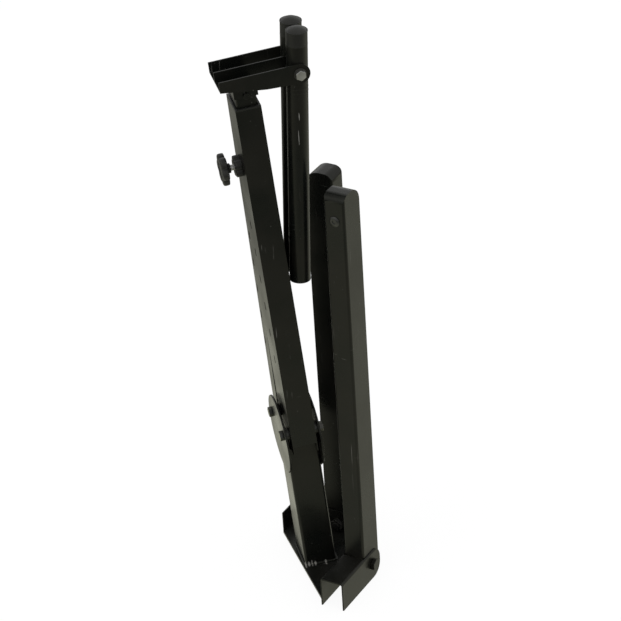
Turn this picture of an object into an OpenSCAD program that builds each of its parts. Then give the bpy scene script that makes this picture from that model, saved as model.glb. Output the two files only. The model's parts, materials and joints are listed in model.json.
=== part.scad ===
// Folding keyboard stand, standing folded up: two channel legs are swung up beside a
// leaning telescopic column, and two tube arms hang from a bracket on top of the post.
// Z is up. The origin is on the floor, under the middle of the whole stand.

/* [Foot frame] */
// Turn of the foot channel's length from the X axis
channel_turn = 46.6; // [44:0.1:48]
// Height of the channels' side walls
foot_h = 47; // [46:0.5:52]
// Sheet thickness of the foot frame
foot_t = 2; // [1.5:0.1:2.5]
// Outer bend radius of the foot channel
foot_bend = 4; // [3:0.5:6]
// Corner radius of the channels' round ears
ear_r = 20; // [16:0.5:22]
// Length of the foot channel in front of the front leg's pivot
channel_front = 92; // [80:1:105]
// Length of the channels past their pivots
ear_reach = 22; // [21:0.5:26]
// Gap between the foot channel's top and the front leg's web
top_web_gap = 2; // [1.5:0.5:6]
// Distance of the rear leg's pivot from the channel's front end
rear_pivot_along = 181.4; // [178:0.5:190]
// Distance of the rear leg's pivot from the channel's inner side
rear_pivot_out = 59.7; // [56:0.5:68]
// Length of the rear clevis's near wall behind the pivot
clevis_near = 75.7; // [70:0.5:90]
// Length of the rear clevis's far wall behind the pivot
clevis_far = 48; // [40:1:70]
// Distance of the base plate's rear corner from the channel's front end
corner_along = 123.3; // [115:0.5:135]
// Distance of the base plate's rear corner from the channel's inner side
corner_out = 134.4; // [128:0.5:140]
// Thickness of the base plate
plate_t = 4; // [3:0.5:5]
// Height of the base plate's underside above the floor
plate_lift = 10; // [6:0.5:12]
// Thickness of the base plate's upright rear lip
lip_t = 2; // [1.5:0.5:3]

/* [Legs] */
// Width of the folded sheet legs
leg_w = 32.2; // [28:0.2:36]
// Depth of the folded sheet legs, from web to open edge
leg_d = 44; // [41:0.5:44]
// Sheet thickness of the legs
leg_t = 2.5; // [2:0.1:3]
// Bend radius along the legs' web
leg_bend = 4; // [3.5:0.5:6]
// Length of the front leg above its pivot
front_leg_l = 628; // [500:1:640]
// Length of the rear leg above its pivot
rear_leg_l = 600; // [480:1:620]
// Tip radius on the web side
tip_web_r = 13; // [8:0.5:16]
// Gap between a leg and its channel's side walls
leg_side_gap = 0.6; // [0.4:0.1:1]
// Height of the leg pivots above the floor
leg_pivot_z = 25; // [25:0.5:25.5]
// Radius of the leg pivot bolts
leg_bolt_r = 5; // [4:0.5:6]
// Outer radius of the leg bushes
leg_bush_r = 8; // [7.5:0.5:10]
// Radius of the rubber foot pads
pad_r = 12.5; // [9:0.5:13]
// Distance of the foot screw from the leg's tip
pad_from_tip = 40; // [34:1:60]
// Radius of the foot screws' round heads
foot_screw_head_r = 6.6; // [5:0.1:8]
// Height of the foot screws' round heads
foot_screw_head_h = 2.4; // [1.5:0.1:3.5]
// Radius of the foot screws
foot_screw_r = 3; // [2:0.5:4]

/* [Column] */
// Sideways lean of the post and column
lean = 4.4; // [3.5:0.1:5]
// Width of the lower post
post_w = 47; // [45:0.5:50]
// Depth of the lower post
post_d = 60; // [54:1:64]
// Wall of the lower post
post_t = 2.5; // [2:0.5:4]
// Corner radius of the lower post
post_corner = 4; // [3:0.5:6]
// Height of the disc hinge's centre above the floor
hinge_z = 237; // [225:1:250]
// Gap from the hinge centre down to the lower post's top
post_drop = 12; // [11:0.5:16]
// Radius of the hinge discs
disc_r = 58; // [54:1:62]
// Thickness of the hinge discs
disc_t = 3; // [2:0.5:5]
// Distance of each hinge bolt from the discs' middle line
hinge_bolt_y = 34; // [32:0.5:37]
// Height of the hinge bolts above the discs' centre
hinge_bolt_c = 18; // [14:0.5:20]
// Radius of the hinge bolts
hinge_bolt_r = 4; // [3:0.5:5]
// Outer radius of the hinge spacers
spacer_r = 9; // [7:0.5:10]
// Width of the outer column
column_w = 36.5; // [36.5:0.1:38]
// Depth of the outer column at its rim
column_top_d = 56; // [55:0.5:60]
// Depth of the outer column between the discs
column_low_d = 110; // [100:1:114]
// Wall of the outer column
column_t = 1.5; // [1.2:0.1:1.6]
// Height of the column's rim above the hinge centre
column_l = 545; // [500:1:560]
// Reach of the column's side walls below the hinge centre
column_drop = 8; // [5:0.5:8]
// Height of the front wall's lower edge above the hinge centre
front_wall_c = 5; // [2:0.5:10]
// Largest backward tilt of the column
tilt_max = 20; // [10:1:20]
// Height of the side slit's tip above the hinge centre
slit_tip_c = 175; // [150:1:190]
// Distance of the side slit's tip behind the column's middle
slit_tip_y = 16; // [12:0.5:18]
// Width of the side slit at the column's lower edge
slit_w = 15; // [8:0.5:15]
// Distance of the side slit's lower end behind the column's middle
slit_low_y = 19; // [16:0.5:19]
// Width of the side slots
slot_w = 5; // [3:0.5:6]
// Length of the side slots
slot_l = 13; // [9:0.5:18]
// Number of slots in the front row
front_slots = 6; // [2:1:7]
// Number of slots in the rear row
rear_slots = 5; // [2:1:6]
// Height of the front row's top slot above the hinge centre
front_row_top = 354; // [330:1:380]
// Height of the front row's bottom slot above the hinge centre
front_row_low = 140; // [120:1:160]
// Height of the rear row's top slot above the hinge centre
rear_row_top = 322; // [300:1:350]
// Height of the rear row's bottom slot above the hinge centre
rear_row_low = 136; // [120:1:160]
// Distance of the front row's top slot behind the column's middle
front_row_top_y = -1; // [-4:0.5:2]
// Distance of the front row's bottom slot behind the column's middle
front_row_low_y = -20; // [-24:0.5:-14]
// Distance of the rear row's top slot behind the column's middle
rear_row_top_y = 26; // [20:0.5:27]
// Distance of the rear row's bottom slot behind the column's middle
rear_row_low_y = 42; // [34:0.5:42]

/* [Telescopic post] */
// Width of the inner post
inner_w = 30; // [27:0.5:30.5]
// Depth of the inner post
inner_d = 47; // [42:0.5:48]
// Wall of the inner post
inner_t = 1.5; // [1:0.1:3]
// Corner radius of the inner post
inner_corner = 4; // [3.5:0.5:6]
// Height of the inner post's lower end above the hinge centre at rest
inner_low_c = 200; // [180:1:230]
// Height of the guide collar's lip on the rim
lip_h = 3; // [2:0.5:5]
// Depth of the guide collar inside the rim
collar_depth = 30; // [20:1:40]
// Height of the guide block at the inner post's lower end
guide_h = 24; // [16:1:34]
// Thickness of the guide block in front of the post and behind it
guide_t = 2; // [1:0.5:2.5]
// Part of the inner post that shows between the rim and the head at rest
bare_post = 16; // [8:1:30]
// Width of the post head
head_w = 34; // [33:0.5:38]
// Depth of the post head
head_d = 54; // [51:0.5:58]
// Depth to which the post goes into its head
head_socket = 5; // [4:0.5:6]
// Radius of the head bolt
head_bolt_r = 2.5; // [2:0.5:3]
// Height of the head bolt's round head
head_bolt_head_h = 3; // [2:0.5:4]
// Radius of the head bolt's round head
head_bolt_head_r = 4.5; // [4:0.5:5.5]
// Length of the head bolt's end inside the post
head_bolt_end = 6; // [4:0.5:8]

/* [Clamp knob] */
// Distance of the knob's axis below the column's rim
knob_drop = 96; // [65:1:115]
// Radius of the knob over its lobes
knob_r = 23; // [18:0.5:26]
// Thickness of the knob's lobed head
knob_t = 10; // [7:0.5:14]
// Number of the knob's lobes
knob_lobes = 6; // [5:1:8]
// Radius of the knob's lobes
knob_lobe_r = 6; // [4:0.5:7]
// Plastic left between the stud's end and the knob's face
knob_skin = 3; // [2:0.5:5]
// Distance of the knob's head from the column's face
knob_out = 20; // [18:0.5:26]
// Radius of the knob's hub
knob_hub_r = 7; // [6:0.5:9]
// Length of the knob's hub
knob_hub_l = 4.7; // [3:0.1:5.5]
// Radius of the clamp stud
stud_r = 4; // [3:0.5:5]
// Radius of the lobed collar on the column
boss_r = 16; // [12:0.5:18]
// Thickness of the lobed collar
boss_t = 10; // [6:0.5:12]
// Number of the lobed collar's lobes
boss_lobes = 5; // [4:1:8]
// Radius of the lobed collar's lobes
boss_lobe_r = 5; // [3:0.5:6]
// Radius of the clamp shoe
shoe_r = 7; // [5:0.5:9]

/* [Top bracket] */
// Length of the bracket from its left end to the arm bolt
bracket_l = 112; // [106:0.5:125]
// Distance of the bracket's left end from the column's middle plane
bracket_left = 35.4; // [30:0.2:38]
// Height of the bracket's left end
bracket_h0 = 16; // [15:0.5:18]
// Height of the bracket's walls half way
bracket_h1 = 26; // [25:0.5:28]
// Height of the bracket's walls at the arm bolt
bracket_h2 = 29; // [29:0.5:34]
// Sheet thickness of the bracket
bracket_t = 2; // [1.5:0.5:3]
// Length of the bracket's floor
floor_l = 46; // [45:0.5:47]
// Height of the bracket's top edge above the column's rim
bracket_rise = 53; // [51:0.5:70]
// Radius of the bracket's fixing bolts
fix_bolt_r = 3; // [2.5:0.5:3.5]
// Length of the fixing bolts under their heads
fix_bolt_l = 12; // [9:1:16]
// Distance of the first fixing bolts from the bracket's left end
fix_bolt_a = 31.5; // [30:0.5:33]
// Spacing of the fixing bolts
fix_bolt_step = 11; // [10.5:0.5:12]
// Radius of the arm pivot bolt
arm_bolt_r = 4; // [3:0.5:5]
// Thickness of the arm pivot bolt's washers
washer_t = 1.6; // [1:0.1:2.5]
// Length of each bolt's end that shows past its nut
bolt_end = 1; // [0.5:0.5:3]

/* [Arms] */
// Outer radius of the arm tubes
arm_r = 15; // [12:0.5:16]
// Wall of the arm tubes
arm_t = 2; // [1.5:0.5:3]
// Gap between an arm tube and the bracket's walls
arm_gap = 0.5; // [0.4:0.1:1]
// Length of an arm above its pivot
arm_up = 63; // [50:1:63]
// Length of an arm below its pivot
arm_down = 332; // [280:1:335]
// Lean of the hanging arms
arm_lean = 2.6; // [1.8:0.1:3]
// Length of the top cap's visible sleeve
cap_sleeve = 19; // [10:1:24]
// Height of the caps' domes
dome_h = 6; // [4:0.5:10]
// Length of the caps' shanks inside the arm tubes
plug_l = 10; // [6:0.5:12]
// Outer radius of the arm bushes
bush_r = 6; // [5.5:0.5:8]

/* [Fits] */
// Radial clearance of pins in their bores
run_fit = 0.05; // [0.02:0.01:0.09]
// Sliding clearance between guides and posts
slide_gap = 0.3; // [0.2:0.05:0.4]
// Side clearance between turning faces
face_gap = 0.25; // [0.1:0.05:0.4]
// Radial play of bolts in slots and of the clamp stud in its hole
slot_play = 0.3; // [0.2:0.05:0.5]

/* [Hidden] */
$fn = 96;
// Small overlap that lets a cut run past the faces it opens
past = 1;
// Place of the column's middle plane where it meets the hinge centre
hinge_x = -15.4;
// Place of the foot channel's inner front corner under the leaning post
corner_x = -19.65;
corner_y = -113.6;
// Head proportions of hex bolts, as multiples of the bolt's radius
hex_af = 3.3;
hex_h = 1.3;
nut_h = 1.6;
washer_over = 2.2;
// Inner gap of a channel that holds a leg, and its full width
clevis_gap = leg_w + 2 * leg_side_gap;
channel_w = clevis_gap + 2 * foot_t;
clevis_near_p = rear_pivot_along - channel_w / 2;
plate_top = plate_lift + plate_t;
leg_half = leg_d / 2;
pad_out = leg_pivot_z;
// Column walls
column_half = column_w / 2;
column_in = column_half - column_t;
rim_c = column_l;
knob_c = rim_c - knob_drop;
lip_c = rim_c + lip_h;
head_low_c = lip_c + bare_post;
bracket_c = rim_c + bracket_rise;
post_top_c = head_low_c + head_socket;
post_half = post_w / 2;
disc_out = post_half + disc_t;
hinge_swing = 2 * hinge_bolt_y;
// Extra turn of the curved slot, which opens it through the lower edge
slot_mouth = 10;
// Slope of the bracket's lower edge over the post
edge_run = 64;
edge_slope = (bracket_h1 - bracket_h0) / edge_run;
edge_angle = atan(edge_slope);
wall_y = 2 * (arm_r + arm_gap) + bracket_t / 2;
arm_y = bracket_t / 2 + arm_gap + arm_r;
bracket_half = wall_y + bracket_t;
arm_pivot_b = bracket_h2 / 2;
arm_pivot_x = bracket_l - bracket_left;
arm_pivot_c = bracket_c - arm_pivot_b;
fix_head_af = 2.9;
// Middle of the whole stand's outline on the floor
face_reach = column_half + knob_out + knob_t;
left_reach = hinge_x - face_reach * cos(lean) - (knob_c + knob_r) * sin(lean);
right_reach = corner_x + (rear_pivot_along + channel_w / 2) * cos(channel_turn)
    - (rear_pivot_out - ear_reach) * sin(channel_turn);
front_reach = corner_y - channel_w * cos(channel_turn);
rear_reach = corner_y + max(
    (rear_pivot_along + channel_w / 2) * sin(channel_turn)
        + (rear_pivot_out + clevis_far) * cos(channel_turn),
    rear_pivot_along * sin(channel_turn) + (rear_pivot_out + clevis_near) * cos(channel_turn)
);
middle = [(left_reach + right_reach) / 2, (front_reach + rear_reach) / 2, 0];

function edge_drop(a) = bracket_h0 + edge_slope * a;
function column_y(c) = (column_low_d + (column_top_d - column_low_d) * c / column_l) / 2;

// Moves the origin to the middle of the stand
module in_stand() {
    translate(-middle) children();
}

// Foot frame: X along the foot channel, Y away from it, from the channel's front corner
module at_foot() {
    in_stand() translate([corner_x, corner_y, 0]) rotate([0, 0, channel_turn]) children();
}

// Leg frames: X towards the leg's open side, Y along the pivot, at floor level
module at_front_leg() {
    at_foot() translate([channel_front, -channel_w / 2, 0]) children();
}

module at_rear_leg() {
    at_foot() translate([rear_pivot_along, rear_pivot_out, 0]) rotate([0, 0, 90]) children();
}

// Column frame: Z up the leaning column, X through its side walls
module at_hinge() {
    in_stand() translate([hinge_x, 0, hinge_z]) rotate([0, -lean, 0]) children();
}

// Bracket frame: X along the bracket from its left end, Z up from its top edge
module at_bracket() {
    at_hinge() translate([-bracket_left, 0, bracket_c]) children();
}

// Arm frame: Z along the arm, origin on the pivot, side is -1 in front and 1 behind
module at_arm(side) {
    at_bracket() translate([bracket_l, side * arm_y, -arm_pivot_b])
        rotate([0, lean + arm_lean, 0]) children();
}

// Turns an outline drawn in X and Y up into X and Z and gives it a width along Y
module upright(width) {
    rotate([90, 0, 0]) linear_extrude(height = width, center = true) children();
}

// Turns an outline drawn in X and Y into Y and Z and gives it a width along X
module sideways(width) {
    rotate([90, 0, 90]) linear_extrude(height = width, center = true) children();
}

// Cylinder along Y between two places
module along_y(r, y0, y1) {
    translate([0, y1, 0]) rotate([90, 0, 0]) cylinder(r = r, h = y1 - y0);
}

// Cylinder along X between two places
module along_x(r, x0, x1) {
    translate([x0, 0, 0]) rotate([0, 90, 0]) cylinder(r = r, h = x1 - x0);
}

// Rectangle with round corners about the origin
module round_rect(w, d, r) {
    square([w - 2 * r, d], center = true);
    square([w, d - 2 * r], center = true);
    for (sx = [-1, 1], sy = [-1, 1])
        translate([sx * (w / 2 - r), sy * (d / 2 - r)]) circle(r = r);
}

// Rectangular tube standing on its own floor
module box_tube(w, d, t, r, h) {
    linear_extrude(height = h) difference() {
        round_rect(w, d, r);
        round_rect(w - 2 * t, d - 2 * t, r - t / 2);
    }
}

// Hexagonal prism along Z, measured across its flats
module hex(af, h) {
    rotate([0, 0, 30]) cylinder(r = af / sqrt(3), h = h, $fn = 6);
}

// Hex bolt along Z: the head ends at zero and the shank goes up
module hex_bolt(r, l) {
    translate([0, 0, -hex_h * r]) hex(hex_af * r, hex_h * r);
    translate([0, 0, -hex_h * r / 2]) cylinder(r = r, h = l + hex_h * r / 2);
}

// Hex nut along Z around a bolt of radius r
module hex_nut(r) {
    difference() {
        hex(hex_af * r, nut_h * r);
        translate([0, 0, -past]) cylinder(r = r + run_fit, h = nut_h * r + 2 * past);
    }
}

// Plain ring along Z
module ring(outer, inner, h) {
    difference() {
        cylinder(r = outer, h = h);
        translate([0, 0, -past]) cylinder(r = inner, h = h + 2 * past);
    }
}

// Disc with round lobes, drawn flat
module lobed(r, lobes, lobe_r) {
    circle(r = r - lobe_r);
    for (i = [0:lobes - 1])
        rotate(i * 360 / lobes) translate([r - lobe_r, 0]) circle(r = lobe_r);
}

// Side wall of a foot channel with a round ear at its right end
module ear_wall(x0, x1) {
    translate([x0, 0]) square([x1 - ear_r - x0, foot_h]);
    translate([x0, ear_r]) square([x1 - x0, foot_h - 2 * ear_r]);
    translate([x1 - ear_r, ear_r]) circle(r = ear_r);
    translate([x1 - ear_r, foot_h - ear_r]) circle(r = ear_r);
}

// Section of an upside-down channel with bent corners
module channel_section() {
    difference() {
        bent_top(channel_w, foot_h, foot_bend);
        translate([0, -past]) bent_top(clevis_gap, foot_h - foot_t + past, foot_bend - foot_t);
    }
}

// Rectangle on the base line with round upper corners
module bent_top(w, h, r) {
    translate([-w / 2, 0]) square([w, h - r]);
    translate([r - w / 2, 0]) square([w - 2 * r, h]);
    for (s = [-1, 1]) translate([s * (w / 2 - r), h - r]) circle(r = r);
}

// Right-hand foot channel: its top ends before the front leg, its walls carry the pivot
module right_channel() {
    color("#2b2e2c") at_front_leg() difference() {
        intersection() {
            translate([ear_reach / 2 - channel_front / 2, 0, 0])
                sideways(channel_front + ear_reach) channel_section();
            upright(channel_w + past) ear_wall(-channel_front, ear_reach);
        }
        translate([-leg_half - top_web_gap, -clevis_gap / 2, -past])
            cube([leg_half + top_web_gap + ear_reach + past, clevis_gap, foot_h + 2 * past]);
        translate([0, 0, leg_pivot_z]) along_y(leg_bolt_r + run_fit, -channel_w, channel_w);
    }
}

// Open-top clevis of the rear leg, with a longer near wall
module left_clevis() {
    color("#2b2e2c") at_rear_leg() difference() {
        union() {
            translate([0, clevis_gap / 2 + foot_t / 2, 0])
                upright(foot_t) mirror([1, 0]) ear_wall(-clevis_near, ear_reach);
            translate([0, -clevis_gap / 2 - foot_t / 2, 0])
                upright(foot_t) mirror([1, 0]) ear_wall(-clevis_far, ear_reach);
            translate([ear_r - ear_reach, -clevis_gap / 2 - foot_t, 0])
                cube([clevis_far + ear_reach - ear_r, channel_w, foot_t]);
            translate([ear_r - ear_reach, 0, 0])
                cube([clevis_near + ear_reach - ear_r, clevis_gap / 2 + foot_t, foot_t]);
        }
        translate([0, 0, leg_pivot_z]) along_y(leg_bolt_r + run_fit, -channel_w, channel_w);
    }
}

// Raised plate between the two foot channels, with an upright lip along its rear edge
module base_plate() {
    color("#303331") at_foot() {
        translate([0, 0, plate_lift]) linear_extrude(height = plate_t)
            polygon([
                [0, 0], [channel_front + ear_reach, 0],
                [clevis_near_p, rear_pivot_out - ear_reach],
                [clevis_near_p, corner_out], [corner_along, corner_out]
            ]);
        translate([corner_along, corner_out - lip_t, plate_lift])
            cube([clevis_near_p - corner_along, lip_t, foot_h - plate_lift]);
    }
}

// Leaning lower post, cut level on the base plate
module lower_post() {
    color("#303331") difference() {
        at_hinge() translate([0, 0, -hinge_z - post_drop])
            box_tube(post_w, post_d, post_t, post_corner, hinge_z);
        in_stand() translate([-hinge_z / 2, -hinge_z / 2, plate_top - hinge_z])
            cube([hinge_z, hinge_z, hinge_z]);
    }
}

// One hinge disc with its two bolt holes, drawn about the hinge centre
module disc_plate(x0) {
    at_hinge() difference() {
        along_x(disc_r, x0, x0 + disc_t);
        for (s = [-1, 1]) translate([0, s * hinge_bolt_y, hinge_bolt_c])
            along_x(hinge_bolt_r + run_fit, x0 - past, x0 + disc_t + past);
    }
}

module left_disc() {
    color("#303331") disc_plate(-disc_out);
}

module right_disc() {
    color("#303331") disc_plate(post_half);
}

// Both hinge bolts: the rear one is the pivot, the front one clamps the curved slot
module hinge_bolts() {
    color("#4a4d4c") at_hinge() for (s = [-1, 1])
        translate([-disc_out, s * hinge_bolt_y, hinge_bolt_c]) rotate([0, 90, 0])
            hex_bolt(hinge_bolt_r, 2 * disc_out + nut_h * hinge_bolt_r + bolt_end);
}

module hinge_nuts() {
    color("#4a4d4c") at_hinge() for (s = [-1, 1])
        translate([disc_out, s * hinge_bolt_y, hinge_bolt_c]) rotate([0, 90, 0])
            hex_nut(hinge_bolt_r);
}

// Spacer rings that centre the column between the discs
module hinge_spacers() {
    color("#8d9192") at_hinge() for (s = [-1, 1], x0 = [-post_half, column_half + face_gap])
        translate([x0, s * hinge_bolt_y, hinge_bolt_c]) rotate([0, 90, 0])
            ring(spacer_r, hinge_bolt_r + run_fit, post_half - column_half - face_gap);
}

// Side outline of the outer column, shrunk front and rear by the given amount
module column_side(inset, low, high) {
    polygon([
        [inset - column_y(high), high], [column_y(high) - inset, high],
        [column_y(0) - inset, 0], [column_y(0) - inset, low],
        [inset - column_y(0), low], [inset - column_y(0), 0]
    ]);
}

// Side slit that widens to the column's lower edge
module slit_side() {
    polygon([
        [slit_tip_y, slit_tip_c],
        [slit_low_y - slit_w / 2, -column_drop - past],
        [slit_low_y + slit_w / 2, -column_drop - past]
    ]);
}

// Curved slot around the rear bolt, open below, along which the front bolt slides
module swing_slot() {
    translate([hinge_bolt_y, hinge_bolt_c]) {
        intersection() {
            difference() {
                circle(r = hinge_swing + hinge_bolt_r + slot_play);
                circle(r = hinge_swing - hinge_bolt_r - slot_play);
            }
            polygon([
                [0, 0], [-2 * hinge_swing, 0],
                [-2 * hinge_swing, -2 * hinge_swing * tan(tilt_max + slot_mouth)]
            ]);
        }
        translate([-hinge_swing, 0]) circle(r = hinge_bolt_r + slot_play);
    }
}

// One round-ended slot, drawn upright
module slot_hole() {
    square([slot_w, slot_l - slot_w], center = true);
    for (s = [-1, 1]) translate([0, s * (slot_l - slot_w) / 2]) circle(r = slot_w / 2);
}

// Slots along a row between two points of the side wall
module slot_row(count, low, high) {
    for (i = [0:count - 1]) {
        at = low + (high - low) * i / (count - 1);
        translate(at) rotate(-atan((high[0] - low[0]) / (high[1] - low[1]))) slot_hole();
    }
}

// Tapered outer column, deep between the discs and shallow at its rim
module outer_column() {
    color("#303331") at_hinge() difference() {
        sideways(column_w) column_side(0, -column_drop, rim_c);
        sideways(2 * column_in) column_side(column_t, -column_drop - past, rim_c + past);
        sideways(column_w + 2 * past) slit_side();
        sideways(column_w + 2 * past) swing_slot();
        translate([-column_in, -column_low_d, -column_drop - past])
            cube([2 * column_in, column_low_d / 2 + post_d / 2, front_wall_c + column_drop + past]);
        translate([-column_half, 0, 0]) sideways(column_w) {
            slot_row(front_slots, [front_row_low_y, front_row_low], [front_row_top_y, front_row_top]);
            slot_row(rear_slots, [rear_row_low_y, rear_row_low], [rear_row_top_y, rear_row_top]);
        }
        translate([0, hinge_bolt_y, hinge_bolt_c])
            along_x(hinge_bolt_r + run_fit, -column_w, column_w);
        translate([0, 0, knob_c]) along_x(stud_r + slot_play, -column_w, 0);
    }
}

// Plastic guide collar: a lip on the rim and a sleeve inside it
module column_collar() {
    color("#1d1f1f") at_hinge() difference() {
        union() {
            translate([-column_half, -column_top_d / 2, rim_c])
                cube([column_w, column_top_d, lip_h]);
            translate([run_fit - column_in, run_fit + column_t - column_top_d / 2, rim_c - collar_depth])
                cube([2 * (column_in - run_fit), column_top_d - 2 * (column_t + run_fit), collar_depth]);
        }
        translate([0, 0, rim_c - collar_depth - past])
            linear_extrude(height = collar_depth + lip_h + 2 * past)
                round_rect(inner_w + 2 * slide_gap, inner_d + 2 * slide_gap, inner_corner);
    }
}

// Lobed collar through which the clamp stud is threaded
module knob_collar() {
    color("#1d1f1f") at_hinge() translate([-column_half - boss_t / 2, 0, knob_c]) difference() {
        sideways(boss_t) lobed(boss_r, boss_lobes, boss_lobe_r);
        along_x(stud_r + run_fit, -boss_t, boss_t);
    }
}

// Lobed hand knob with its hub
module knob() {
    color("#1d1f1f") at_hinge() translate([-column_half - knob_out, 0, knob_c]) difference() {
        union() {
            translate([-knob_t / 2, 0, 0]) sideways(knob_t) lobed(knob_r, knob_lobes, knob_lobe_r);
            along_x(knob_hub_r, 0, knob_hub_l);
        }
        along_x(stud_r, knob_skin - knob_t, knob_out);
    }
}

// Threaded stud from the knob to the clamp shoe
module knob_stud() {
    color("#8d9192") at_hinge() translate([0, 0, knob_c])
        along_x(stud_r, knob_skin - column_half - knob_out - knob_t, -column_in);
}

// Round shoe on the stud's tip, just clear of the inner post
module clamp_shoe() {
    color("#1d1f1f") at_hinge() translate([0, 0, knob_c])
        along_x(shoe_r, -column_in, -inner_w / 2 - slide_gap);
}

// Sliding inner post
module inner_post() {
    color("#303331") at_hinge() difference() {
        translate([0, 0, inner_low_c])
            box_tube(inner_w, inner_d, inner_t, inner_corner, post_top_c - inner_low_c);
        translate([0, 0, head_low_c + head_socket / 2])
            along_y(head_bolt_r + run_fit, -inner_d, 0);
    }
}

// Plastic guide block around the inner post's lower end
module post_guide() {
    color("#1d1f1f") at_hinge() translate([0, 0, inner_low_c]) linear_extrude(height = guide_h)
        difference() {
            square([2 * (column_in - slide_gap), inner_d + 2 * guide_t], center = true);
            round_rect(inner_w, inner_d, inner_corner);
        }
}

// Post head: a cap whose top follows the bracket's slanted lower edge
module post_head() {
    left = bracket_left - head_w / 2;
    right = bracket_left + head_w / 2;
    color("#303331") difference() {
        at_hinge() upright(head_d) polygon([
            [-head_w / 2, head_low_c], [head_w / 2, head_low_c],
            [head_w / 2, bracket_c - edge_drop(right)], [-head_w / 2, bracket_c - edge_drop(left)]
        ]);
        at_hinge() translate([0, 0, head_low_c - past]) linear_extrude(height = head_socket + past)
            round_rect(inner_w, inner_d, inner_corner);
        at_hinge() translate([0, 0, head_low_c + head_socket / 2])
            along_y(head_bolt_r + run_fit, -head_d, 0);
        at_fix_bolts() translate([0, 0, -fix_bolt_l - past])
            cylinder(r = fix_bolt_r + run_fit, h = fix_bolt_l + 2 * past);
    }
}

// Small bolt through the head's front wall into the post
module head_bolt() {
    color("#4a4d4c") at_hinge() translate([0, -head_d / 2, head_low_c + head_socket / 2])
        rotate([-90, 0, 0]) {
            translate([0, 0, -head_bolt_head_h]) cylinder(r = head_bolt_head_r, h = head_bolt_head_h);
            cylinder(r = head_bolt_r, h = (head_d - inner_d) / 2 + inner_t + head_bolt_end);
        }
}

// Side outline of the bracket's walls, down from the top edge
module wall_side() {
    polygon([
        [0, 0], [bracket_l, 0], [bracket_l, -bracket_h2],
        [edge_run, -bracket_h1], [0, -bracket_h0]
    ]);
    translate([bracket_l, -bracket_h2 / 2]) circle(r = bracket_h2 / 2);
}

// Repeats its child at the four fixing bolts, square to the bracket's floor
module at_fix_bolts() {
    at_bracket() for (i = [0, 1], s = [-1, 1])
        translate([fix_bolt_a + i * fix_bolt_step, s * arm_y,
                   bracket_t - edge_drop(fix_bolt_a + i * fix_bolt_step)])
            rotate([0, edge_angle, 0]) children();
}

// Open-top bracket of three walls on a short slanted floor
module top_bracket() {
    color("#303331") difference() {
        at_bracket() {
            for (y = [-wall_y - bracket_t / 2, 0, wall_y + bracket_t / 2])
                translate([0, y, 0]) upright(bracket_t) wall_side();
            upright(2 * bracket_half) polygon([
                [0, -bracket_h0], [floor_l, -edge_drop(floor_l)],
                [floor_l, bracket_t - edge_drop(floor_l)], [0, bracket_t - bracket_h0]
            ]);
        }
        at_bracket() translate([bracket_l, 0, -arm_pivot_b])
            along_y(arm_bolt_r + run_fit, -bracket_half - past, bracket_half + past);
        at_fix_bolts() translate([0, 0, -2 * bracket_t])
            cylinder(r = fix_bolt_r + run_fit, h = 3 * bracket_t);
    }
}

// Fixing bolts that hold the bracket on the post head
module bracket_bolts() {
    color("#4a4d4c") at_fix_bolts() {
        hex(fix_head_af * fix_bolt_r, fix_bolt_r);
        translate([0, 0, -fix_bolt_l]) cylinder(r = fix_bolt_r, h = fix_bolt_l + fix_bolt_r / 2);
    }
}

// Chromed bolt through the three walls, on which both arms turn
module arm_bolt() {
    color("#c9cccd") at_bracket() translate([bracket_l, -bracket_half - washer_t, -arm_pivot_b])
        rotate([-90, 0, 0])
            hex_bolt(arm_bolt_r, 2 * (bracket_half + washer_t) + nut_h * arm_bolt_r + bolt_end);
}

module arm_nut() {
    color("#c9cccd") at_bracket() translate([bracket_l, bracket_half + washer_t, -arm_pivot_b])
        rotate([-90, 0, 0]) hex_nut(arm_bolt_r);
}

module arm_washers() {
    color("#c9cccd") at_bracket() for (y = [-bracket_half - washer_t, bracket_half])
        translate([bracket_l, y, -arm_pivot_b]) rotate([-90, 0, 0])
            ring(washer_over * arm_bolt_r, arm_bolt_r + run_fit, washer_t);
}

// Arm tube with a cross bore for its bush
module arm_tube(side) {
    top = arm_up - dome_h - cap_sleeve;
    bottom = arm_down - dome_h;
    color("#2b2e2c") at_arm(side) difference() {
        translate([0, 0, -bottom]) ring(arm_r, arm_r - arm_t, bottom + top);
        along_y(bush_r, -2 * arm_r, 2 * arm_r);
    }
}

// Domed plug: a visible sleeve, a dome and a shank inside the tube
module arm_plug(sleeve) {
    dome_r = (arm_r * arm_r + dome_h * dome_h) / (2 * dome_h);
    translate([0, 0, -plug_l]) cylinder(r = arm_r - arm_t - run_fit, h = plug_l + past);
    if (sleeve > 0) cylinder(r = arm_r, h = sleeve);
    translate([0, 0, sleeve]) intersection() {
        cylinder(r = arm_r, h = dome_h);
        translate([0, 0, dome_h - dome_r]) sphere(r = dome_r);
    }
}

module arm_cap(side) {
    color("#1d1f1f") at_arm(side)
        translate([0, 0, arm_up - dome_h - cap_sleeve]) arm_plug(cap_sleeve);
}

module arm_end(side) {
    color("#1d1f1f") at_arm(side)
        translate([0, 0, dome_h - arm_down]) mirror([0, 0, 1]) arm_plug(0);
}

// Bush through the tube that turns on the pivot bolt
module arm_bush(side) {
    half = arm_r + arm_gap - face_gap;
    color("#8d9192") at_arm(side) difference() {
        along_y(bush_r, -half, half);
        along_y(arm_bolt_r + run_fit, -2 * arm_r, 2 * arm_r);
    }
}

module front_arm_tube() {
    arm_tube(-1);
}

module front_arm_cap() {
    arm_cap(-1);
}

module front_arm_end() {
    arm_end(-1);
}

module front_arm_bush() {
    arm_bush(-1);
}

module rear_arm_tube() {
    arm_tube(1);
}

module rear_arm_cap() {
    arm_cap(1);
}

module rear_arm_end() {
    arm_end(1);
}

module rear_arm_bush() {
    arm_bush(1);
}

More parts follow.
